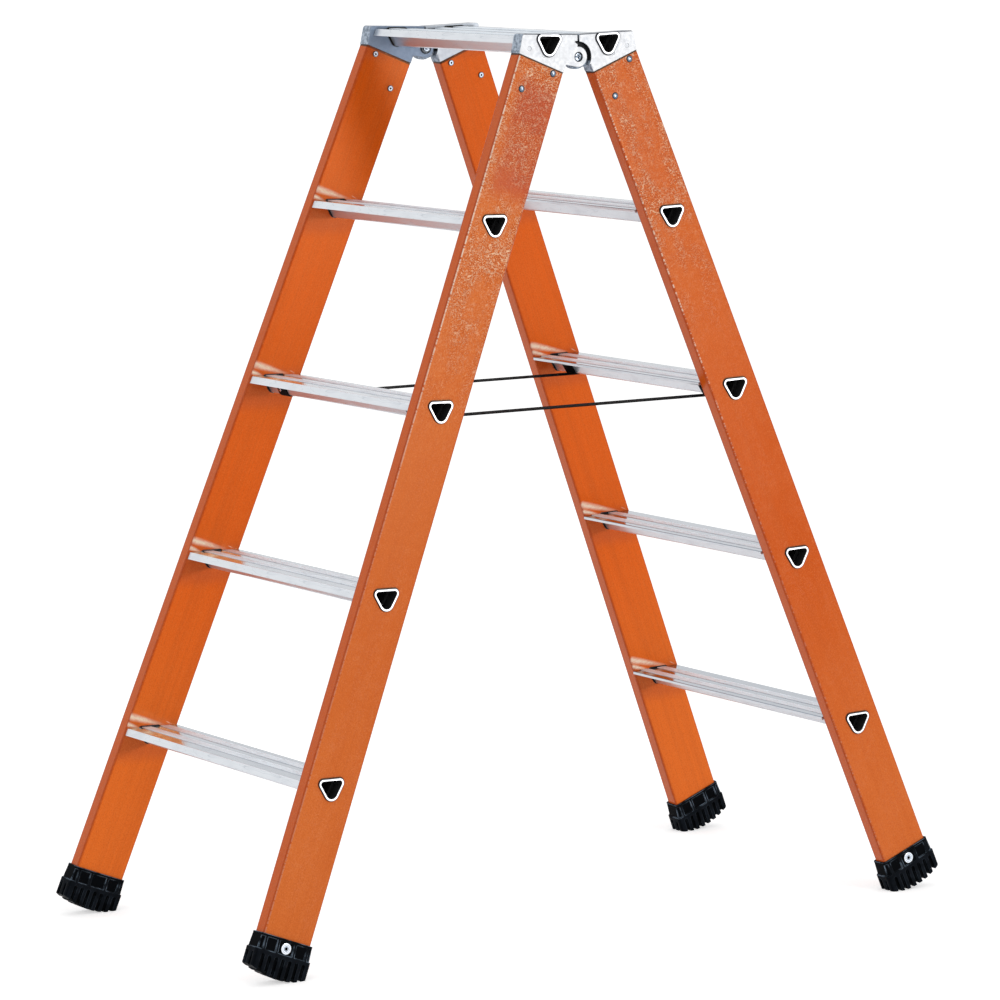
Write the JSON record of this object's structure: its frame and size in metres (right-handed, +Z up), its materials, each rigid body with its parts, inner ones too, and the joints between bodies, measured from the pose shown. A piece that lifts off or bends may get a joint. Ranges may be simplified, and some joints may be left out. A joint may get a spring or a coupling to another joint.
{
  "type": "double-sided step ladder",
  "caption": "Opened double-sided step ladder: leaning orange fibreglass stiles, ribbed aluminium treads, cast hinge heads, webbing spreader straps and grooved rubber shoes.",
  "frame": {"origin": "on the floor, midway between the four shoes of the opened ladder", "axes": "+Z up; +X from the front flight towards the rear flight; +Y along the treads"},
  "size_m": [1.085, 0.5302, 1.1774],
  "materials": {
    "fibreglass": "glossy resin over a fibre veil",
    "extruded_aluminium": "mill finish",
    "cast_aluminium": "rough cast",
    "steel": "zinc plated",
    "rubber": "moulded",
    "webbing": "woven"
  },
  "bodies": {
    "front_flight": {"front_right_stile": "fibreglass", "front_right_hinge_head": "cast_aluminium", "front_right_head_rivets": "steel", "front_right_shoe": "rubber", "front_right_shoe_rivet": "steel", "front_right_strap_loop": "webbing", "front_left_stile": "fibreglass", "front_left_hinge_head": "cast_aluminium", "front_left_head_rivets": "steel", "front_left_shoe": "rubber", "front_left_shoe_rivet": "steel", "front_left_strap_loop": "webbing", "front_top_tread": "extruded_aluminium", "front_tread_4": "extruded_aluminium", "front_tread_3": "extruded_aluminium", "front_tread_2": "extruded_aluminium", "front_tread_1": "extruded_aluminium", "front_strap_eyelets": "steel", "right_hinge_pin": "steel", "right_pin_collar": "steel", "right_strap": "webbing", "left_hinge_pin": "steel", "left_pin_collar": "steel", "left_strap": "webbing"},
    "rear_flight": {"rear_right_stile": "fibreglass", "rear_right_hinge_head": "cast_aluminium", "rear_right_head_rivets": "steel", "rear_right_shoe": "rubber", "rear_right_shoe_rivet": "steel", "rear_right_strap_loop": "webbing", "rear_left_stile": "fibreglass", "rear_left_hinge_head": "cast_aluminium", "rear_left_head_rivets": "steel", "rear_left_shoe": "rubber", "rear_left_shoe_rivet": "steel", "rear_left_strap_loop": "webbing", "rear_top_tread": "extruded_aluminium", "rear_tread_4": "extruded_aluminium", "rear_tread_3": "extruded_aluminium", "rear_tread_2": "extruded_aluminium", "rear_tread_1": "extruded_aluminium", "rear_strap_eyelets": "steel"}
  },
  "joints": [
    {"name": "fold", "type": "hinge", "parent": "front_flight", "child": "rear_flight", "pos_m": [0, 0, 1.14543], "axis": [0, 1, 0], "range_deg": [0, 43], "deforming": ["right_strap", "left_strap"]}
  ]
}
